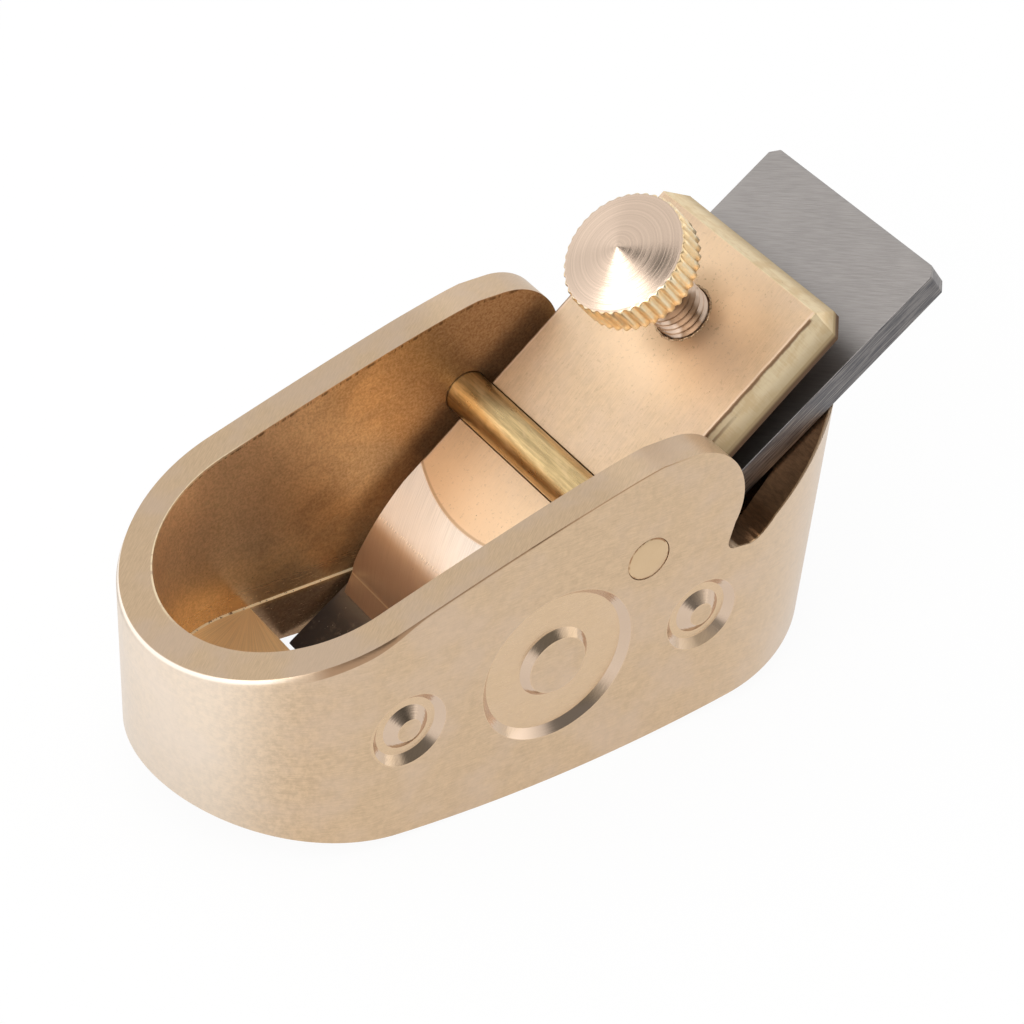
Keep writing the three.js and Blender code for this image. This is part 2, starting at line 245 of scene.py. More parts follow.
class Finish:
    """The nodes of a material, or of the studio's surroundings. Lengths in its sums are millimetres."""

    def __init__(self, name, owner=None):
        self.owner = owner or bpy.data.materials.new(name)
        self.owner.use_nodes = True
        self.nodes = self.owner.node_tree.nodes
        self.links = self.owner.node_tree.links
        self.nodes.clear()

    def node(self, kind, settings=None, values=None, output=0):
        """Adds a node: its settings first, then the values or links of its sockets."""
        made = self.nodes.new(kind)
        for key, value in (settings or {}).items():
            if key == "stops":
                ramp = made.color_ramp
                while len(ramp.elements) < len(value):
                    ramp.elements.new(1)
                for element, (place, colour) in zip(ramp.elements, value):
                    element.position = place
                    element.color = colour
            else:
                setattr(made, key, value)
        for key, value in (values or {}).items():
            if isinstance(value, Socket):
                self.links.new(value.output, made.inputs[key])
            else:
                made.inputs[key].default_value = value
        return Socket(self, made.outputs[output]) if made.outputs else None

    def math(self, operation, *terms):
        return self.node("ShaderNodeMath", {"operation": operation}, dict(enumerate(terms)))

    def clamped(self, value):
        return self.node("ShaderNodeMath", {"operation": "ADD", "use_clamp": True}, {0: value, 1: 0.0})

    def larger(self, first, second):
        return self.math("MAXIMUM", first, second)

    def smaller(self, first, second):
        return self.math("MINIMUM", first, second)

    def distance(self, first, second):
        """Length of the long side over two sides at right angles."""
        return self.math("SQRT", first**2 + second**2)

    def step(self, value, low, high):
        """Smooth step from 0 at low to 1 at high."""
        settings = {"interpolation_type": "SMOOTHSTEP"}
        return self.node("ShaderNodeMapRange", settings, {"Value": value, "From Min": low, "From Max": high})

    def fall(self, value, low, high):
        """Smooth step from 1 at low to 0 at high."""
        return 1 - self.step(value, low, high)

    def vector(self, x, y, z):
        return self.node("ShaderNodeCombineXYZ", None, {0: x, 1: y, 2: z})

    def coordinates(self, kind):
        """The three parts of one of the surface's coordinates."""
        source = self.node("ShaderNodeTexCoord", None, None, kind)
        parts = self.nodes.new("ShaderNodeSeparateXYZ")
        self.links.new(source.output, parts.inputs[0])
        return [Socket(self, out) for out in parts.outputs]

    def place(self):
        """The three object coordinates, in millimetres."""
        return [part * (1 / MM) for part in self.coordinates("Object")]

    def facing(self):
        """The three parts of the surface's own normal in object space."""
        return self.coordinates("Normal")

    def ray(self, kind):
        """1 for light paths of a kind, such as those that the camera sees, else 0."""
        return self.node("ShaderNodeLightPath", None, None, kind)

    def noise(self, vector, scale, detail, roughness, distortion=0.0):
        values = {"Vector": vector, "Scale": scale, "Detail": detail}
        values.update({"Roughness": roughness, "Distortion": distortion})
        return self.node("ShaderNodeTexNoise", None, values)

    def cells(self, vector, scale):
        """Distance to the nearest of a scatter of points."""
        return self.node("ShaderNodeTexVoronoi", None, {"Vector": vector, "Scale": scale})

    def blend(self, mask, first, second):
        """Colour first where mask is 0, second where it is 1."""
        return self.node("ShaderNodeMix", {"data_type": "RGBA"}, {0: mask, 6: first, 7: second}, 2)

    def shades(self, noise, edges, colour, darker, lighter):
        """A colour that goes from a darker to a lighter shade as a noise crosses two edges."""
        return self.blend(self.step(noise, *edges), scaled(colour, darker), scaled(colour, lighter))

    def metal(self, colour, roughness, relief, distance, clean=1.0):
        """Closes the finish: metal of a colour and roughness, with a relief in parts of a distance in mm.

        Clean is 1 for bare metal and less where scratches or skin scatter the light.
        """
        height = {"Height": relief, "Distance": distance * MM, "Strength": 1.0}
        bump = self.node("ShaderNodeBump", None, height)
        values = {"Base Color": colour, "Roughness": roughness, "Metallic": clean, "Normal": bump}
        shader = self.node("ShaderNodeBsdfPrincipled", None, values)
        self.node("ShaderNodeOutputMaterial", None, {0: shader})
        return self.owner


def rgb(colour):
    return (*tuple(colour)[:3], 1.0)


def scaled(colour, factor):
    return (*[part * factor for part in tuple(colour)[:3]], 1.0)


def mixed(first, second, share):
    """A colour between two, at a share of the way."""
    pairs = zip(tuple(first)[:3], tuple(second)[:3])
    return (*[low * (1 - share) + high * share for low, high in pairs], 1.0)


def swing(noise):
    """How far a noise is above or below its middle."""
    return noise - 0.5


def along_axis(axis, x, z):
    """How far a place is along an axis that has no part across the body."""
    return x * axis[0] + z * axis[2]


# Mesh helpers


def show(name, mesh, body, finish, stands_for=()):
    """Puts a mesh in the scene as a piece that rides on a body and takes a slot's finish."""
    mesh.materials.clear()
    mesh.materials.append(finish)
    piece = bpy.data.objects.new(name, mesh)
    bpy.context.scene.collection.objects.link(piece)
    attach(piece, body)
    if stands_for:
        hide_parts(*stands_for)
    return piece


def merged_copy(node, name):
    """Copy of a CAD node's mesh with its corners merged and its flat faces joined."""
    merge_distance = 0.002 * MM
    flat_angle = math.radians(0.25)
    mesh = bpy.data.meshes.new(name)
    work = bmesh.new()
    work.from_mesh(frame["nodes"][node].data)
    bmesh.ops.remove_doubles(work, verts=work.verts, dist=merge_distance)
    bmesh.ops.dissolve_limit(work, angle_limit=flat_angle, verts=work.verts, edges=work.edges)
    work.to_mesh(mesh)
    work.free()
    mesh.shade_smooth()
    return mesh


def ease_edges(piece, width):
    """Rounds the sharp edges of a piece and keeps its flat faces flat in shading."""
    sharp_angle = math.radians(24.0)
    piece.data.set_sharp_from_angle(angle=sharp_angle)
    rounding = piece.modifiers.new("eased_edges", "BEVEL")
    rounding.limit_method = "ANGLE"
    rounding.angle_limit = sharp_angle
    rounding.width = width
    rounding.segments = 2
    rounding.use_clamp_overlap = True
    rounding.miter_outer = "MITER_ARC"
    weighted = piece.modifiers.new("flat_faces", "WEIGHTED_NORMAL")
    weighted.keep_sharp = False
    weighted.weight = 90


def grid_mesh(name, points, round_first=False, round_second=False):
    """Mesh of a grid of points, rows by columns; a round direction closes on itself."""
    rows, columns = points.shape[:2]
    index = np.arange(rows * columns).reshape(rows, columns)
    if round_first:
        index = np.vstack([index, index[:1]])
    if round_second:
        index = np.hstack([index, index[:, :1]])
    corners = [index[:-1, :-1], index[:-1, 1:], index[1:, 1:], index[1:, :-1]]
    quads = np.stack(corners, axis=-1).reshape(-1, 4)
    mesh = bpy.data.meshes.new(name)
    mesh.from_pydata(points.reshape(-1, 3) * MM, [], quads)
    mesh.validate()
    weld(mesh)
    mesh.shade_smooth()
    return mesh


def weld(mesh):
    """Merges doubled points, which closes poles, and turns all faces outwards."""
    merge_distance = 0.0005 * MM
    thinnest = 0.0001 * MM
    work = bmesh.new()
    work.from_mesh(mesh)
    bmesh.ops.remove_doubles(work, verts=work.verts, dist=merge_distance)
    bmesh.ops.dissolve_degenerate(work, edges=work.edges, dist=thinnest)
    bmesh.ops.recalc_face_normals(work, faces=work.faces)
    work.to_mesh(mesh)
    work.free()


def full_turn(steps):
    """Angles of a number of even steps round a full turn."""
    return np.linspace(0, 2 * np.pi, steps, endpoint=False)


def in_cap_frame(along, across, up):
    """Points given along, across and above the lever cap, measured from the pin's centre."""
    along, across, up = np.broadcast_arrays(along, across, up)
    return (
        PIN_CENTRE
        + along[..., None] * CAP_ALONG
        + across[..., None] * ACROSS
        + up[..., None] * CAP_UP
    )


# Sizes and colours


def size_field(name, description, default):
    """A small length in millimetres, kept in metres."""
    return bpy.props.FloatProperty(
        name=name, description=description, default=default * MM, unit="LENGTH", precision=5
    )


def colour_field(name, description, default):
    return bpy.props.FloatVectorProperty(
        name=name, description=description, default=default, subtype="COLOR", size=3, min=0.0, max=1.0
    )


def share_field(name, description, default):
    return bpy.props.FloatProperty(
        name=name, description=description, default=default, min=0.0, max=1.0, subtype="FACTOR"
    )


class FingerPlaneBrass(bpy.types.PropertyGroup):
    """Colours and gloss of the brass pieces."""

    brushed: colour_field("Brushed brass", "Outside of the body and top of the cap", (0.64, 0.465, 0.30))
    # Also serves for painted reflections on the cap's flat and nose, and for a painted highlight along the
    # heel's notch
    patina_and_reflection: colour_field("Patina", "Brown skin inside the hollow", (0.78, 0.52, 0.30))
    drawn: colour_field("Drawn brass", "Yellower brass of the cross pin", (0.62, 0.45, 0.22))
    turned: colour_field("Turned brass", "Bright rose brass of the thumb screw", (0.70, 0.54, 0.42))
    golden: colour_field("Golden brass", "Milled floor and ridges of the screw's head", (0.82, 0.60, 0.33))
    pale: colour_field("Pale brass", "Filed bevels of the lever cap", (0.84, 0.70, 0.47))
    # Also serves for the painted sheen of the heel's outer wall and a painted highlight along the rim at the
    # toe
    honed_and_sheen: colour_field("Honed brass", "Nose of the lever cap and sheen of the heel", (0.84, 0.745, 0.65))
    aged: colour_field("Aged brass", "Reddish skin on the upper wall of the hollow", (0.55, 0.315, 0.13))
    # A painted highlight: the pale, greyish sheen on the toe's outer wall
    painted_toe_sheen: colour_field("Worn brass", "Greyish sheen of the toe's outer wall", (0.68, 0.63, 0.57))
    # Also serves as painted shade in the notch, the hollow, the throat, under the rim, at the cap's foot and
    # on the thread, and for a painted reflection along the rim
    scorched_and_shade: colour_field("Scorched brass", "Skin of the heel's notch and of old edges", (0.30, 0.17, 0.09))
    satin: share_field("Satin roughness", "Roughness of the brushed faces", 0.34)


class FingerPlaneSteel(bpy.types.PropertyGroup):
    """Colours and gloss of the iron."""

    ground: colour_field("Ground steel", "Top face of the iron", (0.36, 0.335, 0.32))
    dark: colour_field("Dark steel", "Edges of the iron and its stained end", (0.085, 0.084, 0.09))
    satin: share_field("Satin roughness", "Roughness of the ground face", 0.38)


class FingerPlaneSizes(bpy.types.PropertyGroup):
    """Small sizes that the looks refine or add."""

    edge_ease: size_field("Edge easing", "Rounding of the sharp edges", 0.1)
    pin_radius: size_field("Pin radius", "Radius of the cross pin", 2.0)
    pin_head_radius: size_field("Pin end radius", "Radius of the pin's ends in the side walls", 2.07)
    thread_radius: size_field("Thread radius", "Over the crests of the thread", 2.45)
    thread_depth: size_field("Thread depth", "From crest to root", 0.42)
    thread_pitch: size_field("Thread pitch", "From crest to crest", 0.8)
    head_radius: size_field("Head radius", "Over the spline ridges of the screw's head", 5.7)
    spline_depth: size_field("Spline depth", "From ridge to hollow", 0.24)
    cone_rise: size_field("Face rise", "Height of the head's coned face", 1.15)


# Finish of the body


def brushed_brass(looks):
    """Body: brushed outside, turned wells, milled floor and brown skin inside and in the heel's notch."""
    skin = Finish("brushed_brass")
    at = body_places(skin)
    marks = body_marks(skin, at)
    wells, rings = turned_wells(skin, at)
    well_walls = wells * skin.fall(abs(at.ny), *WELL_WALL_ACROSS)

    outer = outer_colour(skin, looks, at, marks)
    outer = skin.blend(wells * 0.6, outer, scaled(looks.brushed, 1.12))
    outer = skin.blend(well_walls * 0.8, outer, scaled(looks.turned, 0.92))
    colour = skin.blend(at.inside, outer, hollow_colour(skin, looks, at, marks))
    colour = skin.blend(at.top, colour, rim_colour(skin, looks, marks))
    colour = skin.blend(at.floor, colour, skin.shades(marks.milling, (0.35, 0.65), looks.golden, 0.98, 1.16))
    colour = skin.blend(at.notch, colour, notch_colour(skin, looks, at, marks))
    colour = rim_edge_colour(skin, looks, at, colour)

    dull = skin.step(at.z, *DULL_SKIN)
    rough = looks.satin + swing(marks.brushing) * 0.12 + at.inside * (dull * 0.2 - 0.08)
    rough = rough + marks.pits * at.inside * 0.2 - wells * 0.08 - well_walls * 0.12
    outside = skin.clamped(1 - at.inside - at.floor - at.top)
    skin_relief = swing(marks.inner_scratch) * 0.7 + marks.grain - 0.5 - marks.pits * 0.6
    relief = (
        outside * (1 - wells) * swing(marks.brushing)
        + rings * 0.9
        + at.top * swing(marks.top_scratch) * 0.8
        + at.inside * dull * skin_relief
        + at.floor * swing(marks.milling) * 2.4
        + at.notch * swing(marks.torn) * 2.5
    )
    clean = 1 - at.inside * (dull * 0.12 + at.throat * 0.35) - at.floor * 0.5
    clean = clean - at.top * (1 - at.notch) * skin.fall(at.x, *BARE_RIM) * 0.55
    return skin.metal(colour, rough, relief, 0.012, clean)


def body_places(skin):
    """Where a place on the body is, and masks of the parts that differ in finish.

    Reach is its distance from the middle line or end centre that the wall runs round. Around is its way along
    the wall.
    """
    x, y, z = skin.place()
    _, ny, nz = skin.facing()
    middle = skin.smaller(skin.larger(x, HEEL_CENTRE), TOE_CENTRE)
    reach = skin.distance(x - middle, y)
    around = middle + BODY_HALF * skin.math("ARCTAN2", x - middle, abs(y))
    inside = skin.fall(reach, *HOLLOW_WALL) * skin.fall(nz, *NOT_UP)
    top = skin.step(nz, *PARTLY_UP) * skin.step(z, *ABOVE_FLOOR)
    notch = skin.fall(x, NOTCH_BACK - 0.3, NOTCH_BACK) * skin.step(abs(nz), 0.1, 0.2)
    notch = notch * skin.step(z, *NOTCH_FOOT) * skin.fall(reach, *NOTCH_REACH)
    floor = skin.step(nz, *QUITE_UP) * skin.fall(z, *FLOOR_FACE)
    throat = skin.fall(abs(x - THROAT_MIDDLE), *THROAT_HALF) * skin.fall(z, *THROAT_TOP)
    return SimpleNamespace(
        x=x, y=y, z=z, ny=ny, nz=nz, reach=reach, around=around,
        inside=inside, top=top, notch=notch, floor=floor, throat=throat,
    )


def body_marks(skin, at):
    """The noises of the body's finish: scratches, clouds, pits, milling and torn metal."""
    x, y, z, around = at.x, at.y, at.z, at.around
    side_scratch = skin.noise(skin.vector(around * 0.55, y * 0.2, z * 9.0 + around * 0.5), 1.0, 4.0, 0.65)
    side_hatch = skin.noise(skin.vector(around * 1.1, y * 0.3, z * 15.0 - around * 2.6), 1.0, 2.0, 0.6)
    top_scratch = skin.noise(skin.vector(x * 0.9 + y * 0.6, y * 9.0 - x * 6.0, 0.0), 1.0, 3.0, 0.6)
    inner_scratch = skin.noise(skin.vector(around * 2.6, at.reach * 0.4, z * 0.8), 1.0, 4.0, 0.7)
    fan = skin.math("ARCTAN2", y - MILL_Y, x - MILL_X)
    far = skin.distance(x - MILL_X, y - MILL_Y)
    up_notch = x * -0.8 + z * 0.6
    return SimpleNamespace(
        brushing=side_scratch * 0.65 + side_hatch * 0.35,
        top_scratch=top_scratch,
        inner_scratch=inner_scratch,
        cloud=skin.noise(skin.vector(x, y, z), 0.16, 3.0, 0.6),
        mottle=skin.noise(skin.vector(x, y, z), 1.7, 4.0, 0.7),
        grain=skin.noise(skin.vector(x * 1.6, y, z * 1.6), 2.4, 4.0, 0.75),
        pits=skin.fall(skin.cells(skin.vector(x, y, z), 1.15), 0.03, 0.1),
        milling=skin.noise(skin.vector(fan * 42.0, far * 0.15, 0.0), 1.0, 2.0, 0.6),
        torn=skin.noise(skin.vector(up_notch * 3.2, y * 0.9, 0.0), 1.0, 3.0, 0.65),
    )


def turned_wells(skin, at):
    """Mask of the turned faces of the finger wells, and the relief of their rings."""
    wells = 0.0
    rings = 0.0
    for along, height, radius, share in WELLS:
        away = skin.distance(at.x - along, at.z - height)
        mask = skin.fall(away, radius, radius + 0.1)
        mask = mask * skin.step(away, radius * share - 0.15, radius * share)
        mask = mask * skin.step(abs(at.y), *WELL_FLOOR)
        groove = skin.noise(skin.vector(away * 6.0, along, 0.0), 1.0, 2.0, 0.6)
        wells = skin.larger(wells, mask)
        rings = rings + mask * swing(groove)
    return wells, rings


def outer_colour(skin, looks, at, marks):
    """Outer wall: brushing over a mottle, rosy clouds, and painted highlights as a paler sheen at heel and
    toe.
    """
    mottling = 0.6 + skin.step(at.x, *TOE_MOTTLE) * 0.7
    tone = swing(marks.brushing) * 0.9 + swing(marks.mottle) * mottling + 0.5
    outer = skin.shades(tone, (0.2, 0.8), looks.brushed, 0.86, 1.14)
    outer = skin.blend(skin.step(marks.cloud, 0.4, 0.7) * 0.4, outer, scaled(looks.turned, 0.95))
    # Painted highlight: paler and greyer towards the toe
    outer = skin.blend(skin.step(at.x, *TOE_PAINTED_SHEEN) * 0.55, outer, rgb(looks.painted_toe_sheen))
    # Painted highlight: paler towards the heel
    return skin.blend(skin.fall(at.x, *HEEL_PAINTED_SHEEN) * 0.35, outer, rgb(looks.honed_and_sheen))


def rim_colour(skin, looks, marks):
    """Top of the rim: scratched aslant, with rosy clouds."""
    rim = skin.shades(marks.top_scratch, (0.3, 0.7), looks.brushed, 0.82, 0.97)
    return skin.blend(skin.step(marks.cloud, 0.4, 0.65) * 0.5, rim, scaled(looks.turned, 0.8))


def notch_colour(skin, looks, at, marks):
    """Heel's notch: torn metal, its darkness partly painted shade under the iron, with a painted highlight
    along its outer edge.
    """
    burnt = skin.shades(marks.torn, (0.35, 0.65), looks.scorched_and_shade, 0.95, 1.3)
    # Painted highlight: a lighter line along the notch's outer edge
    return skin.blend(skin.step(at.reach, *NOTCH_EDGE), burnt, scaled(looks.patina_and_reflection, 1.1))


def hollow_colour(skin, looks, at, marks):
    """Brown skin of the hollow, red in the middle, with painted light and shade: lighter towards the toe and
    round the throat, darker towards the heel and below the floor.
    """
    stain = skin.noise(skin.vector(at.x, at.y, at.z * 1.4), 0.22, 5.0, 0.62, 0.4)
    stops = [
        (0.3, scaled(looks.patina_and_reflection, 0.72)),
        (0.45, scaled(looks.patina_and_reflection, 0.95)),
        (0.6, rgb(looks.patina_and_reflection)),
        (0.75, rgb(looks.golden)),
    ]
    stained = stain + swing(marks.inner_scratch) * 0.2
    brown = skin.node("ShaderNodeValToRGB", {"stops": stops}, {0: stained})
    # Painted light: lighter towards the toe
    brown = skin.blend(skin.step(at.x, *HOLLOW_PAINTED_LIGHT) * 0.6, brown, scaled(looks.patina_and_reflection, 1.2))
    red = skin.shades(stain, (0.4, 0.6), looks.aged, 0.9, 1.15)
    brown = skin.blend(skin.fall(at.x, *RED_SKIN) * 0.92, brown, red)
    # Painted shade: darker towards the heel
    brown = skin.blend(skin.fall(at.x, *HOLLOW_PAINTED_SHADE) * 0.9, brown, rgb(looks.scorched_and_shade))
    # Painted light: lighter round the throat
    brown = skin.blend(at.throat * 0.9, brown, skin.shades(stain, (0.4, 0.6), looks.aged, 1.0, 1.35))
    # Painted shade: darker below the floor's level, down the throat
    brown = skin.blend(skin.fall(at.z, *SUNK), brown, scaled(looks.scorched_and_shade, 1.2))
    darker = skin.blend(0.3, brown, scaled(looks.scorched_and_shade, 0.7))
    brighter = skin.blend(0.2, brown, rgb(looks.golden))
    brown = skin.blend(skin.step(marks.grain, 0.36, 0.64), darker, brighter)
    hair = skin.noise(skin.vector(at.around * 0.7, 0.0, at.z * 7.0 + at.around * 2.0), 1.0, 3.0, 0.7)
    brown = skin.blend(skin.step(hair, 0.58, 0.7) * 0.35, brown, rgb(looks.golden))
    return skin.blend(marks.pits * 0.5, brown, scaled(looks.patina_and_reflection, 0.3))


def rim_edge_colour(skin, looks, at, colour):
    """Lays painted lines along the rim's edges: outside, a painted highlight at the toe and a painted dark
    reflection band; inside, a ragged line of painted shade and a painted highlight.
    """
    share = skin.clamped((at.x - CREST_X) * (1 / RIM_RUN))
    below = CREST_HIGH - RIM_FALL * share**RIM_POWER - at.z
    # Painted highlight: a pale line just under the rim's outer edge towards the toe
    shine = skin.step(at.x, *SHINE_START) * skin.fall(below, 0.25, 0.45) * skin.step(below, 0.03, 0.08)
    shine = shine * (1 - at.inside) * skin.fall(at.nz, 0.9, 0.98)
    colour = skin.blend(shine * 0.8, colour, scaled(looks.honed_and_sheen, 1.12))

    # Painted reflection: a dark band just under the rim's outer edge, wider towards the toe
    width = 0.16 + skin.step(at.x, *REFLECTION_BAND_WIDENS) * 0.6
    reflection_band = skin.fall(below, width - 0.06, width + 0.04) * skin.fall(at.x, *REFLECTION_BAND_END)
    reflection_band = reflection_band * skin.step(at.reach, *REFLECTION_BAND_REACH)
    reflection_band = reflection_band * skin.step(at.x, *REFLECTION_BAND_START) * skin.fall(at.nz, 0.8, 0.95)
    colour = skin.blend(reflection_band * 0.8, colour, scaled(looks.scorched_and_shade, 1.2))

    # Painted shade: a ragged dark line just under the rim's inner edge
    rag = skin.noise(skin.vector(at.around, 0.0, 0.0), 0.9, 4.0, 0.7)
    shade = skin.fall(below, 0.1 + rag * 0.4, 0.2 + rag * 0.4) * skin.step(below, 0.08, 0.16)
    shade = shade * at.inside * skin.step(rag, 0.46, 0.56) * skin.fall(at.x, *RAG_END)
    colour = skin.blend(shade * 0.8, colour, scaled(looks.scorched_and_shade, 0.4))

    # Painted highlight: a bright line along the rim's inner edge on the far wall, towards the toe
    bright = skin.fall(below, 0.2, 0.3) * skin.fall(at.reach, *BRIGHT_EDGE_REACH)
    bright = bright * skin.step(at.x, *BRIGHT_EDGE_START) * skin.fall(at.y, *BRIGHT_EDGE_SIDE)
    bright = bright * skin.step(rag, 0.35, 0.5)
    return skin.blend(bright * 0.8, colour, scaled(looks.pale, 1.1))


def fillet_brass(looks):
    """Fillet round the hollow's floor: bright, with short dark nicks."""
    skin = Finish("fillet_brass")
    x, y, z = skin.place()
    nick = skin.noise(skin.vector(x * 1.8, y * 1.8, z), 1.0, 3.0, 0.7)
    colour = skin.blend(skin.step(nick, 0.58, 0.63), scaled(looks.pale, 1.15), scaled(looks.scorched_and_shade, 0.6))
    return skin.metal(colour, 0.5, nick, 0.02, 0.4)


# Finish of the lever cap


def cap_brass(looks):
    """Lever cap: brushed top, pale filed bevels, polished nose, with painted light, shade and reflections."""
    skin = Finish("cap_brass")
    at = cap_places(skin)
    marks = cap_marks(skin, at)
    colour = skin.blend(at.bevel, flat_colour(skin, looks, at, marks), bevel_colour(skin, looks, at, marks))
    rosy_line = skin.fall(abs(abs(at.y) - CAP_FLAT + 0.2 - marks.waver), 0.07, 0.14)
    rosy_line = rosy_line * at.top * skin.fall(at.along, *CAP_BEVEL_END)
    colour = skin.blend(rosy_line * 0.6, colour, scaled(looks.turned, 1.1))
    # Painted shade: the cap's sides darken towards their foot, darkest along the lowest edge
    low_side = skin.fall(at.up, -CAP_BEVEL_DEPTH - 0.3, -CAP_BEVEL_DEPTH - 0.1)
    colour = skin.blend(low_side, colour, scaled(looks.golden, 0.5))
    low_edge = skin.fall(at.up, -CAP_BEVEL_DEPTH - 0.9, -CAP_BEVEL_DEPTH - 0.4)
    colour = skin.blend(low_edge, colour, scaled(looks.scorched_and_shade, 0.45))
    polish = skin.shades(marks.honing, (0.3, 0.7), looks.honed_and_sheen, 1.0, 1.18)
    # Painted reflection: the nose turns brown towards its lower end
    polish = skin.blend(skin.step(at.along, *NOSE_PAINTED_REFLECTION) * 0.75, polish, scaled(looks.patina_and_reflection, 0.8))
    colour = skin.blend(at.nose * (1 - at.bevel), colour, polish)
    colour = skin.blend(skin.clamped(marks.pits * 0.8), colour, scaled(looks.patina_and_reflection, 0.5))
    edge_line = bevel_edge(skin, at, marks)
    lines = skin.larger(edge_line * 0.95, at.fold * 0.4)
    colour = skin.blend(lines, colour, scaled(looks.scorched_and_shade, 0.9))
    # Painted glint: a bright line along the nose's fold
    glint = skin.fall(abs(at.along - NOSE_FOLD + marks.waver), 0.03, 0.1) * at.nose
    colour = skin.blend(glint * 0.8, colour, scaled(looks.pale, 1.15))

    burnished = at.nose * skin.fall(at.along, *BURNISHED_END)
    rough = looks.satin + 0.09 + swing(marks.scratch) * 0.1 - at.nose * 0.2 + at.bevel * 0.12
    rough = rough + marks.pits * 0.2 + at.nose * (1 - burnished) * 0.12
    relief = (1 - at.nose) * (swing(marks.scratch) + swing(marks.mottle) * 0.8)
    relief = relief + at.nose * swing(marks.honing) * 1.6 - marks.pits * 1.5 - edge_line * 3.0
    clean = 1 - burnished * 0.55 - at.nose * 0.15 - at.top * (1 - at.nose) * 0.25 - at.bevel * 0.2
    return skin.metal(colour, rough, relief, 0.01, clean)


def cap_places(skin):
    """Where a place on the cap is, along and above its flat from the pin, and masks of its faces.

    Away is the distance from the screw's axis.
    """
    x, y, z = skin.place()
    along = along_axis(CAP_ALONG, x - PIN_CENTRE[0], z - PIN_CENTRE[2])
    up = along_axis(CAP_UP, x - PIN_CENTRE[0], z - PIN_CENTRE[2])
    crease = NOSE_START - NOSE_BOW * (y - NOSE_OFFSET) ** 2
    near_flat = skin.step(up, *CAP_UNDER_FLAT)
    bevel = skin.step(abs(y), CAP_FLAT - 0.12, CAP_FLAT + 0.02)
    bevel = skin.larger(bevel, skin.fall(along, -CAP_TAIL - 0.02, -CAP_TAIL + 0.12))
    bevel = bevel * skin.fall(along, *CAP_BEVEL_END)
    return SimpleNamespace(
        along=along,
        y=y,
        up=up,
        away=skin.distance(along + SCREW_BACK, y),
        nose=skin.step(along - crease, 0.0, 0.25),
        fold=skin.fall(abs(along - crease), 0.05, 0.22) * near_flat,
        bevel=bevel,
        top=near_flat * (1 - bevel),
    )


def cap_marks(skin, at):
    """The noises of the cap's finish.

    Waver, in millimetres, keeps the bevels' edges from being quite straight.
    """
    along, y, up = at.along, at.y, at.up
    hone = skin.vector(along * 0.23 + 0.37, (y - along * 0.46) * 11.0, up * 0.7 + 0.2)
    cloud = skin.noise(skin.vector(along, y, up), 0.2, 4.0, 0.6)
    pits = skin.fall(skin.cells(skin.vector(along, y, up), 0.9), 0.02, 0.07)
    return SimpleNamespace(
        scratch=skin.noise(skin.vector(along * 0.6, y * 9.0 - along, up), 1.0, 4.0, 0.65),
        honing=skin.noise(hone, 1.0, 2.0, 0.5),
        cloud=cloud,
        blotch=skin.noise(skin.vector(along * 0.6, y, up), 0.7, 3.0, 0.6),
        mottle=skin.noise(skin.vector(along, y, up), 1.3, 3.0, 0.7),
        waver=swing(skin.noise(skin.vector(along, 0.0, 0.0), 0.7, 3.0, 0.6)) * 0.16,
        pits=pits * skin.step(cloud, 0.45, 0.6),
    )


def flat_colour(skin, looks, at, marks):
    """Flat of the cap: brushed, mottled, painted lighter round the screw and towards the nose, with a painted
    brown reflection of the knob.
    """
    tone = swing(marks.scratch) * 0.8 + swing(marks.mottle) * 0.5 + 0.5
    flat = skin.shades(tone, (0.25, 0.75), looks.brushed, 0.92, 1.14)
    flat = skin.blend(skin.step(marks.cloud, 0.35, 0.7) * 0.3, flat, scaled(looks.turned, 0.95))
    # Painted light: paler round the screw and towards the nose
    paler = skin.larger(skin.step(at.along, *PALE_FRONT), skin.fall(at.away, *PALE_ROUND_SCREW))
    flat = skin.blend(paler * 0.75, flat, scaled(looks.brushed, 1.5))
    # Painted reflection of the knob: a faint brown patch round the screw
    knob_reflection = skin.fall(at.away + swing(marks.blotch) * 1.5, *KNOB_REFLECTION_ROUND_SCREW)
    flat = skin.blend(knob_reflection * 0.6, flat, scaled(looks.patina_and_reflection, 0.7))
    dense = skin.fall(at.away, *SPECKS_ROUND_SCREW) * at.top
    specks = skin.fall(skin.noise(skin.vector(at.along, at.y, at.up), 3.4, 3.0, 0.7), 0.34, 0.4)
    return skin.blend(specks * (0.22 + dense * 0.5), flat, scaled(looks.patina_and_reflection, 0.4))


def bevel_colour(skin, looks, at, marks):
    """Filed bevels of the cap: pale with golden blotches, darker low down and towards the nose."""
    filed = skin.noise(skin.vector(at.along * 7.0, at.y * 0.6, at.up * 0.6), 1.0, 3.0, 0.6)
    blotches = skin.step(marks.blotch + swing(filed) * 0.5, 0.35, 0.7)
    side = skin.blend(blotches * 0.7, rgb(looks.pale), scaled(looks.golden, 0.85))
    side = skin.blend(skin.step(at.along, *GOLDEN_BEVEL) * 0.6, side, scaled(looks.golden, 0.8))
    return skin.blend(skin.fall(at.up, -2.6, -1.2) * 0.6, side, scaled(looks.golden, 0.5))


def bevel_edge(skin, at, marks):
    """Dark line between the flat and the side bevels, doubled near the pin."""
    outward = abs(at.y) - CAP_FLAT
    first = skin.fall(abs(outward - marks.waver), 0.06, 0.14)
    second = skin.fall(abs(outward - 0.34 - marks.waver * 0.6), 0.03, 0.09)
    second = second * skin.step(at.along, *DOUBLE_EDGE)
    line = skin.larger(first, second * 0.8) * skin.step(at.up, -1.4, -1.0)
    line = line * skin.step(at.along, -CAP_TAIL + 0.5, -CAP_TAIL + 0.8)
    return line * skin.fall(at.along, *CAP_BEVEL_END)


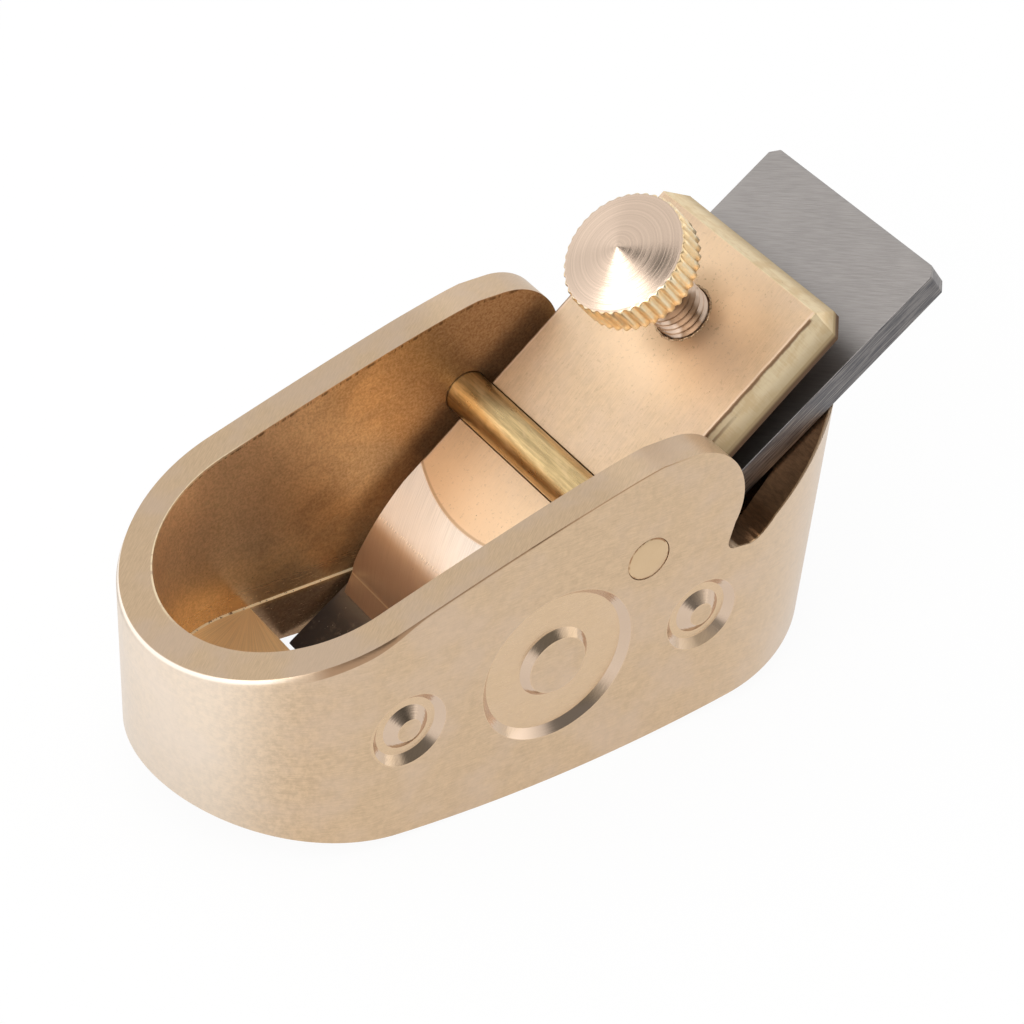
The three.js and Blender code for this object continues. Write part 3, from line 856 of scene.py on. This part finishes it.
def burr_brass(looks):
    """Torn metal round the threaded hole: bright specks on dark."""
    skin = Finish("torn_brass")
    x, y, z = skin.place()
    grain = skin.noise(skin.vector(x, y, z), 4.5, 4.0, 0.7)
    colour = skin.blend(skin.step(grain, 0.42, 0.62), scaled(looks.patina_and_reflection, 0.35), rgb(looks.brushed))
    return skin.metal(colour, 0.5, grain, 0.05)


# Finishes of the pin, the screw and the iron


def drawn_brass(looks):
    """Cross pin: streaks along the bar, a few turned rings and dull ends."""
    skin = Finish("drawn_brass")
    x, y, z = skin.place()
    turn = skin.math("ARCTAN2", z - PIN_CENTRE[2], x - PIN_CENTRE[0])
    streak = skin.noise(skin.vector(y * 0.18, turn * 5.0, 0.0), 1.0, 5.0, 0.7)
    ring = skin.noise(skin.vector(y * 2.4, turn * 0.4, 0.0), 1.0, 3.0, 0.6)
    smear = skin.noise(skin.vector(y * 0.35 + turn * 0.8, turn * 1.2, 0.0), 1.0, 3.0, 0.6)
    colour = skin.shades(streak, (0.35, 0.65), looks.drawn, 0.8, 1.25)
    colour = skin.blend(skin.step(smear, 0.5, 0.7) * 0.5, colour, scaled(looks.golden, 1.05))
    rim_line = skin.step(skin.distance(x - PIN_CENTRE[0], z - PIN_CENTRE[2]), *PIN_RIM_LINE)
    rim_line = rim_line * skin.step(smear, 0.4, 0.55)
    dull_end = skin.blend(rim_line, mixed(looks.brushed, looks.golden, 0.3), scaled(looks.scorched_and_shade, 1.4))
    end = skin.step(abs(y), *PIN_END)
    colour = skin.blend(end, colour, dull_end)
    rough = 0.3 + swing(smear) * 0.25 + end * 0.1
    relief = swing(streak) + swing(ring) * 0.3
    return skin.metal(colour, rough, relief, 0.014)


def turned_brass(looks):
    """Thumb screw: bright turned face, pale ridges with golden grooves between them, and a thread with
    painted shade down one side and dark patches.
    """
    skin = Finish("turned_brass")
    x, y, z = skin.place()
    along = along_axis(CAP_ALONG, x - PIN_CENTRE[0], z - PIN_CENTRE[2]) + SCREW_BACK
    up = along_axis(CAP_UP, x - PIN_CENTRE[0], z - PIN_CENTRE[2])
    away = skin.distance(along, y)
    turn = skin.math("ARCTAN2", y, along)
    groove = skin.noise(skin.vector(away * 5.0, 0.0, 0.0), 1.0, 2.0, 0.6)
    fine = skin.noise(skin.vector(away * 17.0, 3.0, 0.0), 1.0, 1.0, 0.5)
    grime = skin.noise(skin.vector(along, y, up), 0.9, 4.0, 0.65)
    streak = skin.noise(skin.vector(turn * 0.8, up * 0.3, 0.0), 1.0, 2.0, 0.5)
    face = skin.step(up, HEAD_TOP - 0.03, HEAD_TOP + 0.02)
    side = skin.step(away, *HEAD_SIDE_EDGE) * (1 - face)
    thread = skin.fall(away, *THREAD_EDGE) * (1 - face)

    colour = skin.shades(groove, (0.35, 0.65), looks.turned, 0.93, 1.06)
    golden = skin.shades(grime, (0.35, 0.65), looks.golden, 0.9, 1.1)
    ridge = skin.blend(skin.step(grime, 0.45, 0.6), rgb(looks.pale), golden)
    hollow = skin.math("SINE", turn * (SPLINES / 2)) ** 2
    ridge = skin.blend(skin.step(hollow, 0.3, 0.8), ridge, golden)
    colour = skin.blend(side, colour, ridge)
    # Painted light: the head's underside is painted pale
    underside = skin.fall(up, HEAD_FOOT + 0.02, HEAD_FOOT + 0.12)
    colour = skin.blend(underside, colour, scaled(looks.pale, 1.17))
    # Painted shade: a dark band down one side of the thread
    stain = skin.fall(abs(turn - THREAD_SHADE_TURN + swing(streak) * 2.4), 0.5, 0.9)
    shank = skin.blend(stain * 0.9, scaled(looks.turned, 0.9), scaled(looks.scorched_and_shade, 0.7))
    shank = skin.blend(skin.step(grime, 0.55, 0.65) * 0.6, shank, scaled(looks.scorched_and_shade, 0.6))
    colour = skin.blend(thread, colour, shank)
    rough = 0.17 + side * 0.12 + thread * 0.2 + swing(grime) * 0.06
    relief = face * (swing(fine) * 0.9 + swing(groove) * 1.3) + side * swing(fine) * 0.3
    return skin.metal(colour, rough, relief, 0.012, 1 - side * 0.15)


def ground_steel(looks):
    """Iron: ground aslant on top, drawn along its sides, stained near the edge."""
    skin = Finish("ground_steel")
    x, y, z = skin.place()
    nx, ny, nz = skin.facing()
    along = along_axis(IRON_ALONG, x, z)
    up = along_axis(IRON_UP, x, z)
    aslant = along * GRIND_COSINE + y * GRIND_SINE
    with_grain = y * GRIND_COSINE - along * GRIND_SINE
    across = skin.noise(skin.vector(aslant * 11.0, with_grain * 0.45, up), 1.0, 4.0, 0.65)
    length = skin.noise(skin.vector(along * 0.35, y, up * 9.0), 1.0, 4.0, 0.65)
    cloud = skin.noise(skin.vector(along, y, up), 0.13, 3.0, 0.55)
    spots = skin.noise(skin.vector(along, y, up), 1.1, 4.0, 0.7)
    speck = skin.fall(skin.cells(skin.vector(along, y, up), 1.6), 0.03, 0.09)
    side = skin.step(abs(ny), 0.5, 0.8)
    tail = skin.step(along_axis(-IRON_ALONG, nx, nz), 0.5, 0.8)
    stain = skin.step(along, *IRON_STAIN)
    flat = skin.shades(across, (0.3, 0.7), looks.ground, 0.88, 1.1)
    flat = skin.blend(skin.step(cloud, 0.4, 0.65) * 0.25, flat, scaled(looks.ground, 1.2))
    edge = skin.blend(skin.step(length, 0.35, 0.7), scaled(looks.dark, 1.3), scaled(looks.ground, 0.85))
    dirty = skin.blend(skin.step(spots, 0.52, 0.75), rgb(looks.dark), scaled(looks.ground, 0.5))
    dirty = skin.blend(speck, dirty, scaled(looks.ground, 1.5))
    colour = skin.blend(skin.larger(side, tail * 0.4), flat, edge)
    colour = skin.blend(stain * (1 - side), colour, dirty)
    rough = looks.satin + side * 0.08 + swing(across) * 0.12 + stain * 0.05
    relief = (1 - side) * swing(across) + side * swing(length) * 1.6
    return skin.metal(colour, rough, relief, 0.012)


# Pieces


class FINGER_PLANE_OT_body(bpy.types.Operator):
    """Dresses the cast body: edges eased, brushed outside, turned wells, brown skin inside, with painted
    light and shade
    """

    bl_idname = "finger_plane.body"
    bl_label = "Body Casting"

    def execute(self, context):
        scene = context.scene
        finish = brushed_brass(scene.finger_plane_brass)
        mesh = merged_copy("body", "body_casting")
        piece = show("body_casting", mesh, "body", finish, ("body",))
        ease_edges(piece, scene.finger_plane_sizes.edge_ease)
        strip = grid_mesh("floor_fillet", fillet_points(), True, True)
        show("floor_fillet", strip, "body", fillet_brass(scene.finger_plane_brass))
        return {"FINISHED"}


def fillet_points():
    """Narrow fillet between the hollow's wall and its floor.

    A small hollow-sided section is carried round the hollow's plan: two straight sides and two half circles.
    Its width wavers with a sum of sines of the way round.
    """
    bend_steps = 60
    side_steps = 160
    sunk = -0.05
    arc = [(0.0, 0.15), (0.02, 0.1), (0.05, 0.05), (0.1, 0.02), (0.14, 0.01)]
    section = np.array([(sunk, sunk), (sunk, 0.17), *arc, (0.14, sunk)])
    bend = np.linspace(-np.pi / 2, np.pi / 2, bend_steps)
    side = np.linspace(HOLLOW_ENDS[1], HOLLOW_ENDS[0], side_steps)[1:-1]
    toe_end, heel_end = [np.full(bend_steps, end) for end in HOLLOW_ENDS]
    middle = np.concatenate([toe_end, side[::-1], heel_end, side])
    quarter = np.full(len(side), np.pi / 2)
    turn = np.concatenate([bend, quarter, bend + np.pi, -quarter])
    way = full_turn(len(turn))
    swell = 0.85 + 0.08 * np.sin(way * 37) + 0.07 * np.sin(way * 83 + 1.0)
    outward, height = section[None, :, 0], section[None, :, 1]
    inset = np.where(outward > 0, outward * swell[:, None], outward)
    reach = BODY_HALF - WALL - inset
    x = middle[:, None] + reach * np.cos(turn)[:, None]
    y = reach * np.sin(turn)[:, None]
    return np.stack([x, y, FLOOR + height + 0 * reach], axis=-1)


class FINGER_PLANE_OT_cross_pin(bpy.types.Operator):
    """Turns the cross pin with its ends spread in the side walls"""

    bl_idname = "finger_plane.cross_pin"
    bl_label = "Cross Pin"

    def execute(self, context):
        sizes = context.scene.finger_plane_sizes
        finish = drawn_brass(context.scene.finger_plane_brass)
        mesh = grid_mesh("drawn_pin", pin_points(sizes), round_second=True)
        show("drawn_pin", mesh, "body", finish, ("cross_pin",))
        return {"FINISHED"}


def pin_points(sizes):
    """Bar turned about a line across the body.

    Each row is a circle at a place on the axis. The ends are a little larger, with eased edges.
    """
    round_steps = 96
    radius = sizes.pin_radius / MM
    head = sizes.pin_head_radius / MM
    ease = 0.1
    inner = BODY_HALF - WALL
    end = BODY_HALF - 0.01
    half = np.array(
        [
            (inner, radius),
            (inner + 0.4, head),
            (end - ease, head),
            (end - ease * 0.3, head - ease * 0.3),
            (end, head - ease),
            (end, head * 0.5),
            (end, 0.0),
        ]
    )
    profile = np.vstack([half[::-1] * [-1, 1], half])
    turn = full_turn(round_steps)
    place, reach = profile[:, :1], profile[:, 1:]
    x = PIN_CENTRE[0] + reach * np.cos(turn)
    z = PIN_CENTRE[2] + reach * np.sin(turn)
    return np.stack([x, place + 0 * turn, z], axis=-1)


class FINGER_PLANE_OT_iron(bpy.types.Operator):
    """Dresses the iron: ground across its top, dark drawn edges"""

    bl_idname = "finger_plane.iron"
    bl_label = "Iron"

    def execute(self, context):
        scene = context.scene
        finish = ground_steel(scene.finger_plane_steel)
        mesh = merged_copy("iron", "ground_iron")
        piece = show("ground_iron", mesh, "iron", finish, ("iron",))
        ease_edges(piece, scene.finger_plane_sizes.edge_ease)
        return {"FINISHED"}


class FINGER_PLANE_OT_lever_cap(bpy.types.Operator):
    """Dresses the lever cap: brushed top, bevels, polished nose, torn metal round the screw's hole"""

    bl_idname = "finger_plane.lever_cap"
    bl_label = "Lever Cap"

    def execute(self, context):
        scene = context.scene
        brass = scene.finger_plane_brass
        mesh = merged_copy("lever_cap", "bevelled_cap")
        piece = show("bevelled_cap", mesh, "lever_cap", cap_brass(brass), ("lever_cap",))
        ease_edges(piece, scene.finger_plane_sizes.edge_ease * CAP_EASE_SHARE)
        burr = grid_mesh("hole_burr", burr_points(scene.finger_plane_sizes), True, True)
        show("hole_burr", burr, "lever_cap", burr_brass(brass))
        return {"FINISHED"}


def burr_points(sizes):
    """Ring of torn metal round the threaded hole.

    A small circle is carried round a large one. Its thickness and place vary with sums of sines of the turn.
    """
    turn = full_turn(180)[:, None]
    section = full_turn(10)[None, :]
    rough = np.sin(turn * 11) * 0.35 + np.sin(turn * 23 + 1.3) * 0.3 + np.sin(turn * 41 + 0.4) * 0.35
    thick = 0.1 + 0.045 * rough
    middle = sizes.thread_radius / MM + 0.17 + 0.03 * np.sin(turn * 17 + 0.8)
    reach = middle + thick * 1.2 * np.cos(section)
    along = -SCREW_BACK + reach * np.cos(turn)
    up = -CAP_DROP + thick * 0.7 * np.sin(section) + 0 * turn
    return in_cap_frame(along, reach * np.sin(turn), up)


class FINGER_PLANE_OT_thumb_screw(bpy.types.Operator):
    """Turns the thumb screw: thread, splined head and coned face"""

    bl_idname = "finger_plane.thumb_screw"
    bl_label = "Thumb Screw"

    def execute(self, context):
        sizes = context.scene.finger_plane_sizes
        finish = turned_brass(context.scene.finger_plane_brass)
        head = grid_mesh("screw_head", head_points(sizes), round_second=True)
        show("screw_head", head, "thumb_screw", finish, ("thumb_screw",))
        thread = grid_mesh("screw_thread", thread_points(sizes), round_second=True)
        show("screw_thread", thread, "thumb_screw", finish)
        return {"FINISHED"}


def head_points(sizes):
    """Splined head, as rows of points round the screw's axis.

    The profile runs from the middle of the underside out, up the side, over a small chamfer and up the cone.
    The radius is drawn in by the spline depth times a power of the squared sine of half the spline count
    times the turn. The splines fade inwards on the underside, and row by row over the chamfer.
    """
    steps_per_spline = 12
    ease = 0.1
    fade_per_row = 0.24
    hollow_power = 1.3
    radius = sizes.head_radius / MM
    depth = sizes.spline_depth / MM
    rise = sizes.cone_rise / MM
    under = [1.0, 3.5, radius - ease * 2, radius - ease]
    side = np.linspace(HEAD_FOOT + ease, HEAD_TOP - 0.22, 5)
    brim = np.array([radius - 0.03, radius - 0.09, radius - 0.15, radius - 0.22])
    brim_height = HEAD_TOP + np.array([-0.13, -0.05, -0.01, 0.01])
    face = np.linspace(radius - 0.35, 0.0, 40)
    face_height = HEAD_TOP + rise * (1 - face / radius)
    reach = np.concatenate([under, np.full(len(side), radius), brim, face])
    height = np.concatenate([[HEAD_FOOT] * 3, [HEAD_FOOT + ease * 0.2], side, brim_height, face_height])
    turn = full_turn(SPLINES * steps_per_spline)
    hollow = (np.sin(SPLINES * turn / 2) ** 2) ** hollow_power
    brim_start = len(under) + len(side)
    near_rim = np.clip((reach - radius * 0.9) / (radius * 0.08), 0, 1)
    near_rim[brim_start:] = np.clip(1 - (np.arange(len(reach) - brim_start) + 1) * fade_per_row, 0, 1)
    reach = reach[:, None] - depth * hollow[None, :] * near_rim[:, None]
    along = -SCREW_BACK + reach * np.cos(turn)
    return in_cap_frame(along, reach * np.sin(turn), height[:, None] + 0 * turn)


def thread_points(sizes):
    """Threaded shank, as rows of points round the screw's axis.

    The radius at a height h and turn t is the crest radius less the depth times a clipped saw of h over the
    pitch minus t over a full turn. A chamfer narrows it towards the tip.
    """
    rows_per_pitch = 16
    round_steps = 144
    saw_slope = 2.6
    saw_flat = 0.15
    tip_chamfer = 0.5
    crest = sizes.thread_radius / MM
    depth = sizes.thread_depth / MM
    pitch = sizes.thread_pitch / MM
    rows = int((HEAD_FOOT - THREAD_TIP) / pitch * rows_per_pitch)
    height = np.linspace(THREAD_TIP, HEAD_FOOT + 0.2, rows)[:, None]
    turn = full_turn(round_steps)[None, :]
    phase = (height / pitch - turn / (2 * np.pi)) % 1.0
    saw = np.clip(np.abs(phase - 0.5) * saw_slope - saw_flat, 0, 1)
    reach = np.minimum(crest - depth * saw, crest - tip_chamfer + (height - THREAD_TIP))
    closed = np.vstack([0 * reach[:1], reach, 0 * reach[:1]])
    heights = np.vstack([height[:1], height, height[-1:]])
    return in_cap_frame(-SCREW_BACK + closed * np.cos(turn), closed * np.sin(turn), heights + 0 * turn)


# The studio


def towards(bearing, height):
    """Unit step that points to a bearing and height in degrees."""
    turn, rise = math.radians(bearing), math.radians(height)
    return (math.cos(turn) * math.cos(rise), math.sin(turn) * math.cos(rise), math.sin(rise))


def white_paper():
    """Pale floor: white to the camera and in metal, with a painted pool of light on one side that only metal
    sees. It keeps the shadow.
    """
    paper = Finish("white_paper")
    x, y, _ = paper.place()
    seen = paper.ray("Is Camera Ray") * PAPER_SEEN
    mirrored = paper.ray("Is Glossy Ray") * PAPER_MIRRORED
    off_side = x * 0.95 - paper.larger(y - LIT_CORNER, 0.0) * 0.6
    lit = paper.step(off_side, *LIT_PAPER) * paper.ray("Is Glossy Ray")
    shade = paper.blend(lit, rgb((1, 1, 1)), rgb([LIT_LEVEL] * 3))
    matt = paper.node("ShaderNodeBsdfPrincipled", None, {"Base Color": rgb([0.9] * 3), "Roughness": 0.9})
    glow = paper.node("ShaderNodeEmission", None, {"Color": shade, "Strength": 1.0})
    share = paper.clamped(seen + mirrored)
    surface = paper.node("ShaderNodeMixShader", None, {0: share, 1: matt, 2: glow})
    paper.node("ShaderNodeOutputMaterial", None, {0: surface})
    return paper.owner


def studio_walls():
    """Pale tent round the object, white to the camera, with the brighter and darker patches of PATCHES."""
    walls = Finish("studio", bpy.data.worlds.new("studio"))
    look = walls.node("ShaderNodeTexCoord", None, None, "Generated")
    level = TENT_LEVEL
    for bearing, height, inner, outer, brightness in PATCHES:
        ends = {0: look, 1: towards(bearing, height)}
        near = walls.node("ShaderNodeVectorMath", {"operation": "DOT_PRODUCT"}, ends, "Value")
        mask = walls.step(near, math.cos(math.radians(outer)), math.cos(math.radians(inner)))
        level = level * (1 + mask * (brightness - 1))
    white = rgb((1, 1, 1))
    tent = walls.node("ShaderNodeBackground", None, {"Color": white, "Strength": level})
    backdrop = walls.node("ShaderNodeBackground", None, {"Color": white, "Strength": 1.0})
    seen = walls.ray("Is Camera Ray")
    surface = walls.node("ShaderNodeMixShader", None, {0: seen, 1: tent, 2: backdrop})
    walls.node("ShaderNodeOutputWorld", None, {0: surface})
    return walls.owner


def lay_floor(scene):
    """Lays the white paper under the object, as a piece of the stage."""
    left, right, back, front = FLOOR_EDGES
    corners = [(left, back, 0), (right, back, 0), (right, front, 0), (left, front, 0)]
    sheet = bpy.data.meshes.new("floor")
    sheet.from_pydata(corners, [], [(0, 1, 2, 3)])
    sheet.materials.append(white_paper())
    floor = bpy.data.objects.new("floor", sheet)
    scene.collection.objects.link(floor)


def hang_lamp(scene):
    """Hangs the round soft lamp, turned to the object."""
    light = bpy.data.lights.new("key_softbox", "AREA")
    light.shape = "DISK"
    light.size = LAMP_WIDTH
    light.energy = LAMP_POWER
    lamp = bpy.data.objects.new("key_softbox", light)
    lamp.location = [LAMP_DISTANCE * part for part in towards(LAMP_BEARING, LAMP_HEIGHT)]
    lamp.rotation_euler = Euler([math.radians(90 - LAMP_HEIGHT), 0, math.radians(90 + LAMP_BEARING)])
    scene.collection.objects.link(lamp)


def set_camera(scene):
    """Sets the camera where the photograph was taken from."""
    lens = bpy.data.cameras.new("camera")
    lens.lens = CAMERA_LENS
    lens.sensor_width = CAMERA_FILM
    lens.clip_start = CAMERA_NEAR
    camera = bpy.data.objects.new("camera", lens)
    camera.location = CAMERA_PLACE
    camera.rotation_euler = Euler([math.radians(part) for part in CAMERA_TURNS])
    scene.collection.objects.link(camera)
    scene.camera = camera


class FINGER_PLANE_OT_stage(bpy.types.Operator):
    """Sets the floor, the soft studio light and the camera"""

    bl_idname = "finger_plane.stage"
    bl_label = "Studio"

    def execute(self, context):
        scene = context.scene
        lay_floor(scene)
        scene.world = studio_walls()
        hang_lamp(scene)
        set_camera(scene)
        scene.view_settings.view_transform = "Standard"
        return {"FINISHED"}


# The add-on


class FINGER_PLANE_PT_panel(bpy.types.Panel):
    """Lists the pieces and their sizes and colours"""

    bl_idname = "FINGER_PLANE_PT_panel"
    bl_label = "Finger Plane"
    bl_space_type = "VIEW_3D"
    bl_region_type = "UI"
    bl_category = "Finger Plane"

    def draw(self, context):
        for group_name in GROUPS:
            group = getattr(context.scene, group_name)
            box = self.layout.box()
            for field in group.__annotations__:
                box.prop(group, field)
        for operator in OPERATORS:
            self.layout.operator(operator.bl_idname)


OPERATORS = (
    FINGER_PLANE_OT_body,
    FINGER_PLANE_OT_cross_pin,
    FINGER_PLANE_OT_iron,
    FINGER_PLANE_OT_lever_cap,
    FINGER_PLANE_OT_thumb_screw,
    FINGER_PLANE_OT_stage,
)
GROUPS = {
    "finger_plane_brass": FingerPlaneBrass,
    "finger_plane_steel": FingerPlaneSteel,
    "finger_plane_sizes": FingerPlaneSizes,
}


def register():
    for group_name, group in GROUPS.items():
        bpy.utils.register_class(group)
        setattr(bpy.types.Scene, group_name, bpy.props.PointerProperty(type=group))
    for operator in OPERATORS:
        bpy.utils.register_class(operator)
    bpy.utils.register_class(FINGER_PLANE_PT_panel)


def unregister():
    bpy.utils.unregister_class(FINGER_PLANE_PT_panel)
    for operator in reversed(OPERATORS):
        bpy.utils.unregister_class(operator)
    for group_name, group in GROUPS.items():
        delattr(bpy.types.Scene, group_name)
        bpy.utils.unregister_class(group)


def main():
    register()
    bpy.ops.finger_plane.body()
    bpy.ops.finger_plane.cross_pin()
    bpy.ops.finger_plane.iron()
    bpy.ops.finger_plane.lever_cap()
    bpy.ops.finger_plane.thumb_screw()
    bpy.ops.finger_plane.stage()
    bpy.context.view_layer.update()


if __name__ == "__main__":
    main()
